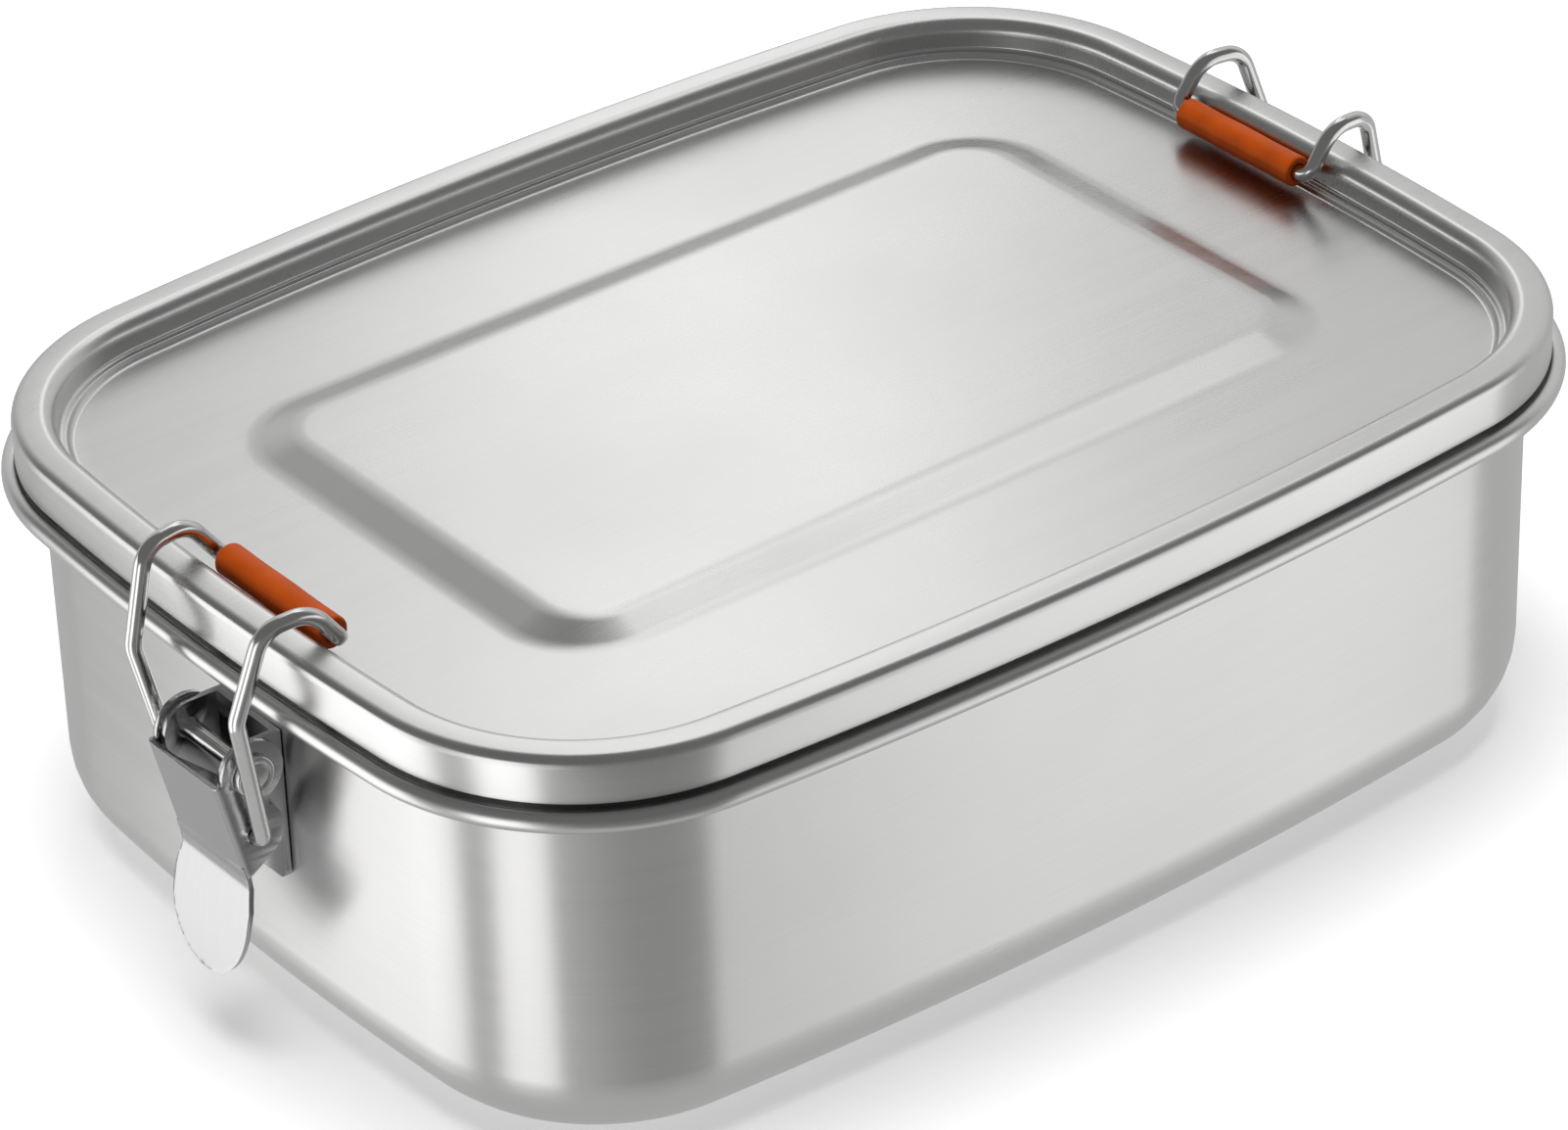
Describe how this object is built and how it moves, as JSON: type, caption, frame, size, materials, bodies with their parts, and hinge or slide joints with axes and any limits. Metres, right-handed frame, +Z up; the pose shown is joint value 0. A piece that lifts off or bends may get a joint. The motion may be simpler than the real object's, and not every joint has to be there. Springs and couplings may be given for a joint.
{
  "type": "lunch box",
  "caption": "Shallow stainless steel lunch box with a lift-off recessed lid, held shut by a wire toggle clamp with a thumb lever and a silicone-sleeved bail at each short end.",
  "frame": {"origin": "middle of the tub's underside, on the surface that the box stands on", "axes": "+X along the long side, +Y along the short side, +Z up"},
  "size_m": [0.2158, 0.1548, 0.0724],
  "materials": {
    "tub_steel": "satin",
    "lid_steel": "brushed satin",
    "clamp_steel": "satin",
    "rivet_steel": "polished",
    "wire_steel": "polished",
    "sleeve_silicone": "matte orange silicone",
    "gasket_silicone": "matte white silicone"
  },
  "bodies": {
    "box": {"tub": "tub_steel", "lid": "lid_steel", "lid_gasket": "gasket_silicone", "near_bracket": "clamp_steel", "near_axle": "rivet_steel", "far_bracket": "clamp_steel", "far_axle": "rivet_steel"},
    "near_lever": {"near_lever": "clamp_steel"},
    "near_bail": {"near_bail": "wire_steel", "near_sleeve": "sleeve_silicone"},
    "far_lever": {"far_lever": "clamp_steel"},
    "far_bail": {"far_bail": "wire_steel", "far_sleeve": "sleeve_silicone"}
  },
  "joints": [
    {"name": "near_lever_hinge", "type": "hinge", "parent": "box", "child": "near_lever", "pos_m": [-0.1019, -0.0055, 0.0458], "axis": [0, 1, 0], "range_deg": [0, 120]},
    {"name": "near_bail_hinge", "type": "hinge", "parent": "near_lever", "child": "near_bail", "pos_m": [-0.1022, -0.0055, 0.0362], "axis": [0, 1, 0], "range_deg": [-84, 0]},
    {"name": "far_lever_hinge", "type": "hinge", "parent": "box", "child": "far_lever", "pos_m": [0.1019, 0.0055, 0.0458], "axis": [0, -1, 0], "range_deg": [0, 120]},
    {"name": "far_bail_hinge", "type": "hinge", "parent": "far_lever", "child": "far_bail", "pos_m": [0.1022, 0.0055, 0.0362], "axis": [0, -1, 0], "range_deg": [-84, 0]}
  ],
  "couplings": [
    {"joint": "near_bail_hinge", "follows": "near_lever_hinge", "ratio": -0.7},
    {"joint": "far_bail_hinge", "follows": "far_lever_hinge", "ratio": -0.7}
  ]
}
